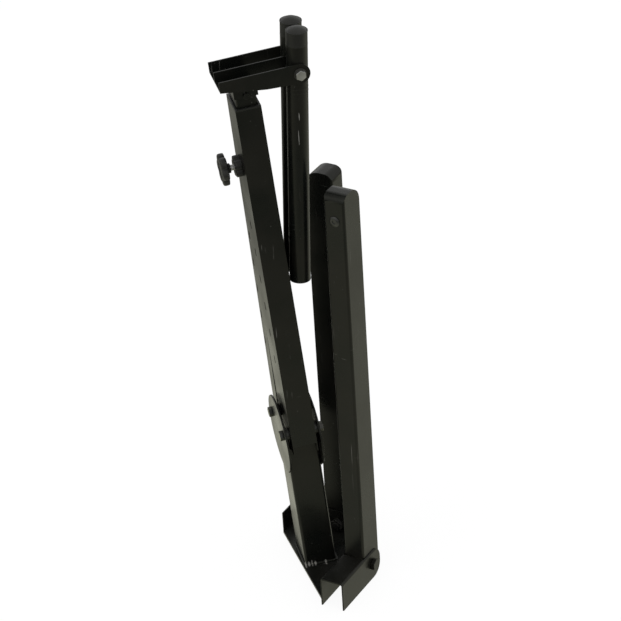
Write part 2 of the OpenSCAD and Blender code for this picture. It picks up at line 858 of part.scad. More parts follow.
// Side outline of a leg above its pivot, shrunk inwards by the sheet thickness
module leg_side(l, inset) {
    web_r = tip_web_r - inset;
    far_r = leg_half - inset;
    translate([inset - leg_half, 0]) square([leg_half - inset, l - tip_web_r]);
    translate([tip_web_r - leg_half, 0]) square([leg_half - tip_web_r, l - inset]);
    translate([tip_web_r - leg_half, l - tip_web_r]) circle(r = web_r);
    square([far_r, l - leg_half]);
    translate([0, l - leg_half]) circle(r = far_r);
}

// Section of a leg from above: the web's corners are bent, the other side is open
module leg_plan(w, inset) {
    r = leg_bend - inset;
    translate([inset - leg_half + r, -w / 2]) square([leg_d, w]);
    translate([inset - leg_half, r - w / 2]) square([leg_d, w - 2 * r]);
    for (s = [-1, 1])
        translate([inset - leg_half + r, s * (w / 2 - r)]) circle(r = r);
}

// Folded sheet leg: two walls and a web that wraps over the round tip
module leg_channel(l) {
    color("#2b2e2c") translate([0, 0, leg_pivot_z]) difference() {
        intersection() {
            upright(leg_w) {
                leg_side(l, 0);
                circle(r = leg_half);
            }
            translate([0, 0, -leg_half - past])
                linear_extrude(height = l + leg_half + 2 * past) leg_plan(leg_w, 0);
        }
        intersection() {
            upright(leg_w - 2 * leg_t) {
                leg_side(l, leg_t);
                translate([0, -leg_d]) square([leg_d, l - leg_half + leg_d]);
            }
            translate([0, 0, -leg_half - past])
                linear_extrude(height = l + leg_half + 2 * past) leg_plan(leg_w - 2 * leg_t, leg_t);
        }
        translate([-leg_half - past, leg_t - leg_w / 2, -leg_half - past])
            cube([leg_d + 2 * past, leg_w - 2 * leg_t, leg_half + past]);
        along_y(leg_bolt_r + run_fit, -leg_w, leg_w);
        translate([0, 0, l - pad_from_tip])
            along_x(foot_screw_r + run_fit, -leg_d, 0);
    }
}

// Bush between a leg's walls, around the pivot bolt
module leg_bush() {
    color("#8d9192") translate([0, 0, leg_pivot_z]) difference() {
        along_y(leg_bush_r, leg_t - leg_w / 2, leg_w / 2 - leg_t);
        along_y(leg_bolt_r + run_fit, -leg_w, leg_w);
    }
}

// Rubber foot in the leg's tip: it reaches the floor when the leg is folded down
module leg_pad(l) {
    color("#161717") translate([0, 0, leg_pivot_z + l - pad_from_tip]) difference() {
        along_x(pad_r, leg_t - leg_half, pad_out);
        along_x(foot_screw_r + run_fit, -leg_d, 0);
    }
}

// Round-headed screw through the web into the rubber foot
module leg_screw(l) {
    color("#8d9192") translate([0, 0, leg_pivot_z + l - pad_from_tip]) {
        along_x(foot_screw_head_r, -leg_half - foot_screw_head_h, -leg_half);
        along_x(foot_screw_r, -leg_half - past, -past);
    }
}

module leg_bolt() {
    color("#8d9192") translate([0, -channel_w / 2, leg_pivot_z]) rotate([-90, 0, 0])
        hex_bolt(leg_bolt_r, channel_w + nut_h * leg_bolt_r + bolt_end);
}

module leg_nut() {
    color("#8d9192") translate([0, channel_w / 2, leg_pivot_z]) rotate([-90, 0, 0])
        hex_nut(leg_bolt_r);
}

module front_leg_bolt() {
    at_front_leg() leg_bolt();
}

module front_leg_nut() {
    at_front_leg() leg_nut();
}

module rear_leg_bolt() {
    at_rear_leg() leg_bolt();
}

module rear_leg_nut() {
    at_rear_leg() leg_nut();
}

module front_leg_channel() {
    at_front_leg() leg_channel(front_leg_l);
}

module front_leg_bush() {
    at_front_leg() leg_bush();
}

module front_leg_pad() {
    at_front_leg() leg_pad(front_leg_l);
}

module front_leg_screw() {
    at_front_leg() leg_screw(front_leg_l);
}

module rear_leg_channel() {
    at_rear_leg() leg_channel(rear_leg_l);
}

module rear_leg_bush() {
    at_rear_leg() leg_bush();
}

module rear_leg_pad() {
    at_rear_leg() leg_pad(rear_leg_l);
}

module rear_leg_screw() {
    at_rear_leg() leg_screw(rear_leg_l);
}

base_plate();
right_channel();
left_clevis();
lower_post();
left_disc();
right_disc();
front_leg_bolt();
front_leg_nut();
rear_leg_bolt();
rear_leg_nut();
hinge_bolts();
hinge_nuts();
hinge_spacers();
outer_column();
column_collar();
knob_collar();
knob();
knob_stud();
clamp_shoe();
inner_post();
post_guide();
post_head();
head_bolt();
top_bracket();
bracket_bolts();
arm_bolt();
arm_nut();
arm_washers();
front_arm_tube();
front_arm_cap();
front_arm_end();
front_arm_bush();
rear_arm_tube();
rear_arm_cap();
rear_arm_end();
rear_arm_bush();
front_leg_channel();
front_leg_bush();
front_leg_pad();
front_leg_screw();
rear_leg_channel();
rear_leg_bush();
rear_leg_pad();
rear_leg_screw();
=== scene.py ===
"""Dresses the folding keyboard stand: finishes, rounded knobs, welds, rings, camera and light."""
import json
import logging
import math
from dataclasses import dataclass
from enum import Enum
from typing import Callable, Sequence

import bmesh
import bpy
import numpy as np
from mathutils import Matrix, Vector


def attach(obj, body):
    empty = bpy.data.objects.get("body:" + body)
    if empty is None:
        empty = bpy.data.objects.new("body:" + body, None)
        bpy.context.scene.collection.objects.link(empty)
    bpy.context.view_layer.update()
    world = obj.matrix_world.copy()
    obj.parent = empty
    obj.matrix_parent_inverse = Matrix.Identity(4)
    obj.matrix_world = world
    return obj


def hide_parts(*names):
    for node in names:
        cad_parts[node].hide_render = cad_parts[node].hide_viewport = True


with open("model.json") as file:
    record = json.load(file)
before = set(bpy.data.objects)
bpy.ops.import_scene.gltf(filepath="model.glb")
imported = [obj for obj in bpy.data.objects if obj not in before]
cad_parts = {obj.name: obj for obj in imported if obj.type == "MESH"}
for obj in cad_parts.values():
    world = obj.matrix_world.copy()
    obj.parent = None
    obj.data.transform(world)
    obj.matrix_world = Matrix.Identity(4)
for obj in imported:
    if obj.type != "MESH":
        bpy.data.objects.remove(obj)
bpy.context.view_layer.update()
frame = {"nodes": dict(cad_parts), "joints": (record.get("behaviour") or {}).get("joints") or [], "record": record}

LOG = logging.getLogger("keyboard_stand")
MM = 0.001
TAU = 2.0 * math.pi
RIGHT_ANGLE = math.pi / 2.0
UPWARDS = np.array([0.0, 0.0, 1.0])
BACKWARDS = np.array([0.0, 1.0, 0.0])
WHITE = (1.0, 1.0, 1.0, 1.0)

Corner = tuple[float, float, float]
Colour = tuple[float, float, float]
LobeRule = Callable[[np.ndarray, np.ndarray, np.ndarray], np.ndarray]


class Slot(Enum):
    """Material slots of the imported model."""

    PAINT = "black_paint"
    PLASTIC = "black_plastic"
    RUBBER = "rubber"
    ZINC = "zinc_steel"
    DARK = "dark_steel"
    CHROME = "chrome"


class Body(Enum):
    """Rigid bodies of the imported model."""

    BASE = "base"
    COLUMN = "column"
    CLAMP = "clamp"
    SLIDER = "slider"
    FRONT_ARM = "front_arm"
    REAR_ARM = "rear_arm"
    FRONT_LEG = "front_leg"
    REAR_LEG = "rear_leg"


# Places


@dataclass(frozen=True)
class Place:
    """A local frame of the stand, in metres."""

    origin: np.ndarray
    x: np.ndarray
    y: np.ndarray
    z: np.ndarray

    def to_stand(self, points: np.ndarray) -> np.ndarray:
        """Turns local points into stand points: origin + a x + b y + c z.

        Args:
            points: array whose last axis holds local coordinates in metres.

        Returns:
            Array of the same shape in the stand's frame.
        """
        return self.origin + points @ np.stack([self.x, self.y, self.z])


def joint(name: str) -> dict:
    """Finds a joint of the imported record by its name."""
    return next(j for j in frame["joints"] if j["name"] == name)


# Place of the tilt bolt in the column's frame, in millimetres
TILT_BOLT_UP = 18.0
TILT_BOLT_BACK = 34.0

# Lean of the hanging arms, in degrees
ARM_LEAN = 2.6


def column_place() -> Place:
    """Column frame: z up the leaning column, x through its side walls, origin in the disc hinge."""
    up = np.array(joint("post_slide")["axis"], float)
    side = np.array([up[2], 0.0, -up[0]])
    bolt = np.array(joint("column_tilt")["pos_m"], float)
    middle = bolt - up * TILT_BOLT_UP * MM - BACKWARDS * TILT_BOLT_BACK * MM
    return Place(middle, side, BACKWARDS, up)


def leg_place(name: str) -> Place:
    """Leg frame: z up the folded leg, y along its pivot, x towards its open side."""
    pivot = joint(name)
    axis = np.array(pivot["axis"], float)
    return Place(np.array(pivot["pos_m"], float), np.cross(axis, UPWARDS), axis, UPWARDS)


def arm_place(name: str) -> Place:
    """Arm frame: z up the hanging arm's tube, origin on its pivot."""
    lean = math.radians(ARM_LEAN)
    up = np.array([math.sin(lean), 0.0, math.cos(lean)])
    side = np.array([up[2], 0.0, -up[0]])
    return Place(np.array(joint(name)["pos_m"], float), side, BACKWARDS, up)


# Meshes


# Distance under which two points of a made surface are one
MERGE = 1e-6

# Direction that no weld path follows, so that it can turn a section about any of them
SLANTED = np.array([0.13, 0.21, 0.97])

# Share of its radius that a bead keeps at an open end
BEAD_END = 0.05


def smoothstep(low: float, high: float, value: np.ndarray) -> np.ndarray:
    """Eases from 0 at low to 1 at high with a cubic: 3 t t - 2 t t t."""
    t = np.clip((value - low) / (high - low), 0.0, 1.0)
    return t * t * (3.0 - 2.0 * t)


def grid_object(name: str, points: np.ndarray, close_u: bool, close_v: bool) -> bpy.types.Object:
    """Makes an object from a grid of points, with faces between neighbours.

    Args:
        name: the new object's name.
        points: array of rows, columns and three coordinates in the stand's frame.
        close_u: joins the last row to the first.
        close_v: joins the last column to the first.

    Returns:
        The new object, smooth shaded, with doubled points merged and faces turned outwards.
    """
    rows, cols = points.shape[:2]
    u = np.arange(rows if close_u else rows - 1)
    v = np.arange(cols if close_v else cols - 1)
    uu, vv = np.meshgrid(u, v, indexing="ij")
    un, vn = (uu + 1) % rows, (vv + 1) % cols
    faces = np.stack([uu * cols + vv, un * cols + vv, un * cols + vn, uu * cols + vn], axis=-1)
    mesh = bpy.data.meshes.new(name)
    mesh.from_pydata(points.reshape(-1, 3).tolist(), [], faces.reshape(-1, 4).tolist())
    tidy_mesh(mesh)
    obj = bpy.data.objects.new(name, mesh)
    bpy.context.scene.collection.objects.link(obj)
    return obj


def tidy_mesh(mesh: bpy.types.Mesh) -> None:
    """Merges doubled points, drops empty faces and turns all faces outwards."""
    bm = bmesh.new()
    bm.from_mesh(mesh)
    bmesh.ops.remove_doubles(bm, verts=bm.verts, dist=MERGE)
    bmesh.ops.dissolve_degenerate(bm, edges=bm.edges, dist=MERGE)
    bmesh.ops.recalc_face_normals(bm, faces=bm.faces)
    bm.to_mesh(mesh)
    bm.free()
    mesh.polygons.foreach_set("use_smooth", np.ones(len(mesh.polygons), bool))


def revolved(profile: np.ndarray, segments: int, lobes: LobeRule | None = None) -> np.ndarray:
    """Turns a profile about z: x = r cos a, y = r sin a, with r changed by an optional lobe rule.

    Args:
        profile: rows of radius and height in metres, from one end of the axis to the other.
        segments: number of steps round the axis.
        lobes: function of radius, height and angle that gives the lobed radius.

    Returns:
        Grid of points, profile rows by angle columns.
    """
    angle = np.linspace(0.0, TAU, segments, endpoint=False)
    r, a = np.meshgrid(profile[:, 0], angle, indexing="ij")
    h = np.repeat(profile[:, 1:2], segments, axis=1)
    if lobes is not None:
        r = lobes(r, h, a)
    return np.stack([r * np.cos(a), r * np.sin(a), h], axis=-1)


def rounded_profile(corners: Sequence[Corner], steps: int = 6) -> np.ndarray:
    """Rounds the corners of a profile with arcs drawn as quadratic curves.

    Each corner gives way to the curve (1-t)^2 A + 2 t (1-t) B + t^2 C, where B is the corner and
    A and C lie on its two sides at the given distance.

    Args:
        corners: radius, height and rounding distance of each corner, in millimetres.
        steps: number of points along each rounding.

    Returns:
        Rows of radius and height in metres.
    """
    pts = np.array([c[:2] for c in corners], float)
    out = [pts[0][None]]
    t = np.linspace(0.0, 1.0, steps)[:, None]
    for i in range(1, len(pts) - 1):
        a, b, c = pts[i - 1], pts[i], pts[i + 1]
        cut = corners[i][2]
        p = b + (a - b) / np.linalg.norm(a - b) * cut
        q = b + (c - b) / np.linalg.norm(c - b) * cut
        out.append((1 - t) ** 2 * p + 2 * t * (1 - t) * b + t**2 * q)
    out.append(pts[-1][None])
    return np.concatenate(out) * MM


def bead(path: np.ndarray, radius: float, ripple: float, pitch: float, sides: int = 12,
         closed: bool = False) -> np.ndarray:
    """Carries a round section along a path, swelling and shrinking like laid weld metal.

    The radius is radius + ripple cos(2 pi s / pitch), where s is the length along the path, and the
    section lies in the plane of the path's normal and binormal.

    Args:
        path: rows of points in metres.
        radius: mean radius in metres.
        ripple: height of the ripples in metres.
        pitch: length of one ripple in metres.
        sides: points round the section.
        closed: joins the path's ends.

    Returns:
        Grid of points, path rows by section columns.
    """
    ahead = np.roll(path, -1, axis=0) if closed else np.vstack([path[1:], 2 * path[-1] - path[-2]])
    behind = np.roll(path, 1, axis=0) if closed else np.vstack([2 * path[0] - path[1], path[:-1]])
    along = ahead - behind
    along /= np.linalg.norm(along, axis=1, keepdims=True)
    side = np.cross(along, SLANTED)
    side /= np.linalg.norm(side, axis=1, keepdims=True)
    top = np.cross(side, along)
    length = np.concatenate([[0.0], np.cumsum(np.linalg.norm(np.diff(path, axis=0), axis=1))])
    r = radius + ripple * np.cos(TAU * length / pitch)
    if not closed:
        r[0] = r[-1] = radius * BEAD_END
    angle = np.linspace(0.0, TAU, sides, endpoint=False)
    ring = np.cos(angle)[None, :, None] * side[:, None] + np.sin(angle)[None, :, None] * top[:, None]
    return path[:, None] + r[:, None, None] * ring


# Shader groups


class Sketch:
    """Short way to write a node tree."""

    def __init__(self, tree: bpy.types.NodeTree) -> None:
        """Starts on an emptied tree."""
        self.tree = tree
        tree.nodes.clear()

    def node(self, kind: str, inputs: dict | None = None, **settings: object) -> bpy.types.Node:
        """Adds a node.

        Args:
            kind: Blender's node type, without the ShaderNode prefix where it has one.
            inputs: socket name or number to a value or to another node's output.
            settings: properties to set on the node.

        Returns:
            The new node.
        """
        made = self.tree.nodes.new(kind if kind.startswith("Node") else "ShaderNode" + kind)
        for key, value in settings.items():
            setattr(made, key, value)
        for key, value in (inputs or {}).items():
            if isinstance(value, bpy.types.NodeSocket):
                self.tree.links.new(value, made.inputs[key])
            else:
                made.inputs[key].default_value = value
        return made

    def math(self, operation: str, a: object, b: object = 0.0) -> bpy.types.NodeSocket:
        """Adds a Math node and gives its output."""
        return self.node("Math", {0: a, 1: b}, operation=operation).outputs[0]

    def ramp(self, value: object, low: float, high: float,
             out_low: float = 0.0, out_high: float = 1.0) -> bpy.types.NodeSocket:
        """Maps a value smoothly from one range to another."""
        return self.node(
            "MapRange", {"Value": value, 1: low, 2: high, 3: out_low, 4: out_high},
            interpolation_type="SMOOTHSTEP",
        ).outputs[0]

    def noise(self, vector: object, scale: object, detail: float) -> bpy.types.NodeSocket:
        """Adds a Noise Texture and gives its value."""
        texture = self.node("TexNoise", {"Vector": vector, "Scale": scale, "Detail": detail})
        return texture.outputs["Fac"]

    def stretched(self, vector: object, scale: tuple, turn: tuple) -> bpy.types.NodeSocket:
        """Scales and turns a coordinate."""
        return self.node("Mapping", {"Vector": vector, "Rotation": turn, "Scale": scale}).outputs[0]

    def mix(self, factor: object, a: object, b: object) -> bpy.types.NodeSocket:
        """Mixes two colours, which are inputs 6 and 7 of a Mix node, its result output 2."""
        return self.node("Mix", {0: factor, 6: a, 7: b}, data_type="RGBA").outputs[2]

    def blend(self, factor: object, a: object, b: object) -> bpy.types.NodeSocket:
        """Mixes two values, which are inputs 2 and 3 of a Mix node, its result output 0."""
        return self.node("Mix", {0: factor, 2: a, 3: b}, data_type="FLOAT").outputs[0]


@dataclass(frozen=True)
class Pattern:
    """A noise field, cut off between two levels, that says where something lies."""

    scale: float
    detail: float
    low: float
    high: float
    stretch: tuple[float, float, float] = (1.0, 1.0, 1.0)
    turn: tuple[float, float, float] = (0.0, 0.0, 0.0)

    def mask(self, s: Sketch, vector: object) -> bpy.types.NodeSocket:
        """Gives 0 where the noise is under the low level and 1 where it is over the high one.

        Args:
            s: the tree's sketch.
            vector: the Object coordinate.

        Returns:
            The mask's socket.
        """
        field = s.noise(s.stretched(vector, self.stretch, self.turn), self.scale, self.detail)
        return s.ramp(field, self.low, self.high)


# Patterns of the marks of use and of dust, with scales per metre
LONG_SCRATCHES = Pattern(1.0, 2.0, 0.70, 0.76, stretch=(420.0, 420.0, 9.0), turn=(0.05, 0.03, 0.0))
CROSS_SCRATCHES = Pattern(1.0, 2.0, 0.72, 0.77, stretch=(26.0, 26.0, 520.0), turn=(0.5, 0.35, 0.2))
SCRATCHED_AREAS = Pattern(14.0, 3.0, 0.50, 0.66)
CHIPPED_AREAS = Pattern(24.0, 3.0, 0.60, 0.68, turn=(0.4, 0.9, 0.2))
DUST_CLOUDS = Pattern(38.0, 6.0, 0.35, 0.75)
DUST_GRAINS = Pattern(1500.0, 1.0, 0.55, 0.75)

# Chips: cells per metre, raggedness of their rims, and the levels at which a rim begins and ends
CHIP_CELLS = 210.0
CHIP_NOISE = 900.0
CHIP_RAGGED = 0.18
CHIP_OUTSIDE = 0.22
CHIP_INSIDE = 0.16

# Broad mottling of every skin
MOTTLE_SCALE = 11.0
MOTTLE_DETAIL = 5.0

# Detail of the small noises
SMALL_DETAIL = 2.0

# How far a face must look up to hold dust, and the dust on faces that don't
DUST_TILT = (0.35, 0.95)
DUST_ON_WALLS = 0.12

# Fine grain on the soft dimples of a skin: times as dense, and share of the height
FINE_DENSER = 4.0
FINE_SHARE = 0.3


def new_group(name: str, inputs: Sequence[tuple], outputs: Sequence[str]) -> tuple:
    """Makes an empty shader group.

    Args:
        name: the group's name.
        inputs: name, socket type and default value of each input.
        outputs: names of the value outputs.

    Returns:
        The group, its sketch, its input node and its output node.
    """
    group = bpy.data.node_groups.new(name, "ShaderNodeTree")
    for label, kind, default in inputs:
        socket = group.interface.new_socket(label, in_out="INPUT", socket_type=kind)
        if default is not None:
            socket.default_value = default
    for label in outputs:
        group.interface.new_socket(label, in_out="OUTPUT", socket_type="NodeSocketFloat")
    sketch = Sketch(group)
    return group, sketch, sketch.node("NodeGroupInput"), sketch.node("NodeGroupOutput")


def use_wear_group() -> bpy.types.NodeTree:
    """Builds the marks of use: fine scratches, paint chips and a broad mottling."""
    group, s, source, sink = new_group(
        "marks_of_use",
        [("Vector", "NodeSocketVector", None), ("Scratches", "NodeSocketFloat", 0.5),
         ("Chips", "NodeSocketFloat", 0.5)],
        ["Scratches", "Chips", "Mottle"],
    )
    vector = source.outputs["Vector"]
    lines = s.math("MAXIMUM", LONG_SCRATCHES.mask(s, vector), CROSS_SCRATCHES.mask(s, vector))
    lines = s.math("MULTIPLY", lines, SCRATCHED_AREAS.mask(s, vector))
    scratch = s.math("MULTIPLY", lines, source.outputs["Scratches"])
    cell = s.node("TexVoronoi", {"Vector": vector, "Scale": CHIP_CELLS}, feature="F1")
    ragged = s.math("MULTIPLY", s.noise(vector, CHIP_NOISE, SMALL_DETAIL), CHIP_RAGGED)
    ragged = s.math("ADD", cell.outputs["Distance"], ragged)
    spot = s.ramp(ragged, CHIP_OUTSIDE, CHIP_INSIDE)
    spot = s.math("MULTIPLY", spot, CHIPPED_AREAS.mask(s, vector))
    chip = s.math("MULTIPLY", spot, source.outputs["Chips"])
    s.tree.links.new(scratch, sink.inputs["Scratches"])
    s.tree.links.new(chip, sink.inputs["Chips"])
    s.tree.links.new(s.noise(vector, MOTTLE_SCALE, MOTTLE_DETAIL), sink.inputs["Mottle"])
    return group


def use_dust_group() -> bpy.types.NodeTree:
    """Builds dust: thin everywhere, thicker on faces that look up."""
    group, s, source, sink = new_group(
        "settled_dust",
        [("Vector", "NodeSocketVector", None), ("Normal", "NodeSocketVector", None),
         ("Amount", "NodeSocketFloat", 0.5)],
        ["Dust"],
    )
    vector = source.outputs["Vector"]
    up = s.node("SeparateXYZ", {0: source.outputs["Normal"]}).outputs["Z"]
    lying = s.ramp(up, *DUST_TILT, DUST_ON_WALLS, 1.0)
    specks = s.math("ADD", DUST_CLOUDS.mask(s, vector), DUST_GRAINS.mask(s, vector))
    amount = s.math("MULTIPLY", s.math("MULTIPLY", lying, specks), source.outputs["Amount"])
    s.tree.links.new(amount, sink.inputs["Dust"])
    return group


def use_grain_group() -> bpy.types.NodeTree:
    """Builds the height of a sprayed or moulded skin: soft dimples with a fine grain on them."""
    group, s, source, sink = new_group(
        "skin_height",
        [("Vector", "NodeSocketVector", None), ("Scale", "NodeSocketFloat", 700.0)],
        ["Height"],
    )
    vector, scale = source.outputs["Vector"], source.outputs["Scale"]
    soft = s.noise(vector, scale, SMALL_DETAIL)
    fine = s.noise(vector, s.math("MULTIPLY", scale, FINE_DENSER), SMALL_DETAIL)
    height = s.math("ADD", soft, s.math("MULTIPLY", fine, FINE_SHARE))
    s.tree.links.new(height, sink.inputs["Height"])
    return group


# Finishes


# Raggedness of a placed mark's rim, and the distances at which the rim begins and ends
MARK_NOISE = 420.0
MARK_DETAIL = 3.0
MARK_RAGGED = 0.9
MARK_OUTSIDE = 1.45
MARK_INSIDE = 1.25


@dataclass(frozen=True)
class Mark:
    """One worn place: a ragged bare spot drawn out along the axes, in metres."""

    middle: tuple[float, float, float]
    reach: tuple[float, float, float]

    def mask(self, s: Sketch, vector: object, ragged: object) -> bpy.types.NodeSocket:
        """Gives 1 inside the spot and 0 outside, with a ragged rim.

        Args:
            s: the tree's sketch.
            vector: the Object coordinate.
            ragged: a noise value that moves the rim in and out.

        Returns:
            The mask's socket.
        """
        away = s.node("VectorMath", {0: vector, 1: self.middle}, operation="SUBTRACT").outputs[0]
        scaled = s.node("VectorMath", {0: away, 1: self.reach}, operation="DIVIDE").outputs[0]
        length = s.node("VectorMath", {0: scaled}, operation="LENGTH").outputs["Value"]
        rim = s.math("ADD", length, s.math("MULTIPLY", ragged, MARK_RAGGED))
        return s.ramp(rim, MARK_OUTSIDE, MARK_INSIDE)


# Five chips where the post meets the plate, two scratches on the front arm, a chip on the front leg
MARKS = (
    Mark((-0.0173, -0.0174, 0.0155), (0.0014, 0.0060, 0.0060)),
    Mark((-0.0124, -0.0166, 0.0160), (0.0022, 0.0060, 0.0040)),
    Mark((-0.0076, -0.0156, 0.0160), (0.0012, 0.0060, 0.0060)),
    Mark((-0.0025, -0.0165, 0.0160), (0.0018, 0.0060, 0.0035)),
    Mark((0.0134, -0.0191, 0.0160), (0.0016, 0.0060, 0.0035)),
    Mark((0.0163, -0.0165, 0.7600), (0.0005, 0.0060, 0.0060)),
    Mark((0.0140, -0.0165, 0.7270), (0.0004, 0.0060, 0.0120)),
    Mark((0.0620, -0.0468, 0.4973), (0.0035, 0.0060, 0.0025)),
)


def use_placed_group() -> bpy.types.NodeTree:
    """Builds the bare spots that the photograph shows in one place each."""
    group, s, source, sink = new_group(
        "placed_marks", [("Vector", "NodeSocketVector", None)], ["Bare"],
    )
    vector = source.outputs["Vector"]
    ragged = s.noise(vector, MARK_NOISE, MARK_DETAIL)
    total = MARKS[0].mask(s, vector, ragged)
    for mark in MARKS[1:]:
        total = s.math("MAXIMUM", total, mark.mask(s, vector, ragged))
    s.tree.links.new(total, sink.inputs["Bare"])
    return group


@dataclass(frozen=True)
class Groups:
    """The shader groups that the finishes share."""

    wear: bpy.types.NodeTree
    dust: bpy.types.NodeTree
    grain: bpy.types.NodeTree
    placed: bpy.types.NodeTree


# Faintly green-brown tone of what the skins reflect, and the colour of dust
OLIVE = (0.95, 0.96, 0.84, 1.0)
DUST_COLOUR = (0.30, 0.30, 0.29, 1.0)

# Levels of the mottling between which the colour and the roughness change
MOTTLED_COLOUR = (0.35, 0.65)
MOTTLED_ROUGHNESS = (0.3, 0.7)

# How much rougher and deeper a bare mark is than its skin, and the height of the grain in metres
MARK_ROUGHER = 0.12
MARK_DEEPER = 2.5
GRAIN_HEIGHT = 0.0002


@dataclass(frozen=True)
class Finish:
    """One finish: a dark or bright skin with its wear, dust and grain."""

    name: str
    tint_a: Colour
    tint_b: Colour
    worn: Colour
    rough: tuple[float, float]
    metallic: float
    ior: float
    scratches: float
    chips: float
    dust: float
    grain_scale: float
    bump: float

    def build(self, groups: Groups) -> bpy.types.Material:
        """Makes the material.

        Args:
            groups: the shared shader groups.

        Returns:
            The material, reading Object coordinates.
        """
        material = bpy.data.materials.new(self.name)
        material.use_nodes = True
        s = Sketch(material.node_tree)
        where = s.node("TexCoord")
        place = where.outputs["Object"]
        wear = s.node("Group", node_tree=groups.wear)
        s.tree.links.new(place, wear.inputs["Vector"])
        wear.inputs["Scratches"].default_value = self.scratches
        wear.inputs["Chips"].default_value = self.chips
        dust = s.node("Group", node_tree=groups.dust)
        s.tree.links.new(place, dust.inputs["Vector"])
        s.tree.links.new(where.outputs["Normal"], dust.inputs["Normal"])
        dust.inputs["Amount"].default_value = self.dust
        grain = s.node("Group", node_tree=groups.grain)
        s.tree.links.new(place, grain.inputs["Vector"])
        grain.inputs["Scale"].default_value = self.grain_scale
        placed = s.node("Group", node_tree=groups.placed)
        s.tree.links.new(place, placed.inputs["Vector"])
        marks = s.math("MAXIMUM", wear.outputs["Scratches"], wear.outputs["Chips"])
        marks = s.math("MAXIMUM", marks, placed.outputs["Bare"])
        mottle = wear.outputs["Mottle"]
        skin = s.mix(s.ramp(mottle, *MOTTLED_COLOUR), (*self.tint_a, 1.0), (*self.tint_b, 1.0))
        marked = s.mix(marks, skin, (*self.worn, 1.0))
        dusty = s.mix(dust.outputs["Dust"], marked, DUST_COLOUR)
        rough = s.ramp(mottle, *MOTTLED_ROUGHNESS, *self.rough)
        rough = s.math("ADD", rough, s.math("MULTIPLY", marks, MARK_ROUGHER))
        height = s.math("SUBTRACT", grain.outputs["Height"], s.math("MULTIPLY", marks, MARK_DEEPER))
        bump = s.node("Bump", {"Strength": self.bump, "Distance": GRAIN_HEIGHT, "Height": height})
        shader = s.node("BsdfPrincipled", {
            "Base Color": dusty, "Roughness": rough, "Normal": bump.outputs[0],
            "Metallic": self.metallic, "IOR": self.ior, "Specular Tint": OLIVE,
        })
        s.node("OutputMaterial", {"Surface": shader.outputs[0]})
        return material


FINISHES = {
    Slot.PAINT: Finish(
        name="black_paint", tint_a=(0.0036, 0.0043, 0.0036), tint_b=(0.0064, 0.0062, 0.0050),
        worn=(0.21, 0.205, 0.19), rough=(0.24, 0.36), metallic=0.0, ior=1.26,
        scratches=0.45, chips=0.5, dust=0.022, grain_scale=520.0, bump=0.10,
    ),
    Slot.PLASTIC: Finish(
        name="black_plastic", tint_a=(0.0050, 0.0054, 0.0056), tint_b=(0.0085, 0.0085, 0.0085),
        worn=(0.05, 0.05, 0.048), rough=(0.34, 0.46), metallic=0.0, ior=1.33,
        scratches=0.35, chips=0.0, dust=0.035, grain_scale=1500.0, bump=0.16,
    ),
    Slot.RUBBER: Finish(
        name="foot_rubber", tint_a=(0.0070, 0.0070, 0.0070), tint_b=(0.0120, 0.0118, 0.0112),
        worn=(0.04, 0.04, 0.038), rough=(0.68, 0.85), metallic=0.0, ior=1.36,
        scratches=0.2, chips=0.0, dust=0.06, grain_scale=2200.0, bump=0.30,
    ),
    Slot.ZINC: Finish(
        name="zinc_plate", tint_a=(0.36, 0.37, 0.37), tint_b=(0.50, 0.50, 0.48),
        worn=(0.20, 0.19, 0.17), rough=(0.28, 0.46), metallic=1.0, ior=1.5,
        scratches=0.5, chips=0.4, dust=0.03, grain_scale=1800.0, bump=0.12,
    ),
    Slot.DARK: Finish(
        name="dark_zinc", tint_a=(0.030, 0.032, 0.031), tint_b=(0.058, 0.057, 0.052),
        worn=(0.34, 0.33, 0.30), rough=(0.26, 0.42), metallic=0.85, ior=1.5,
        scratches=0.5, chips=0.4, dust=0.02, grain_scale=1800.0, bump=0.12,
    ),
    Slot.CHROME: Finish(
        name="dull_chrome", tint_a=(0.16, 0.17, 0.17), tint_b=(0.42, 0.42, 0.41),
        worn=(0.05, 0.048, 0.044), rough=(0.22, 0.40), metallic=1.0, ior=1.5,
        scratches=0.8, chips=0.8, dust=0.01, grain_scale=900.0, bump=0.45,
    ),
}

# Pieces whose plating has gone dark or was sprayed over, whatever their slot
LOOKS = {
    "arm_washers": Slot.DARK, "rear_leg_bolt": Slot.DARK, "rear_leg_nut": Slot.DARK,
    "hinge_spacers": Slot.DARK, "front_leg_screw": Slot.DARK, "rear_leg_screw": Slot.DARK,
    "front_leg_bolt": Slot.PAINT, "head_bolt": Slot.PAINT,
}


# Workshop

# Merging distance of a copied CAD mesh, the angle under which its faces are one flat face, the
# angle from which an edge is rounded, the steps of a rounding, and the weight that keeps large
# faces flat in their shading
COPY_MERGE = 2e-6
FLAT_ANGLE = math.radians(0.6)
EDGE_ANGLE = math.radians(38.0)
EDGE_SEGMENTS = 2
FACE_WEIGHT = 100


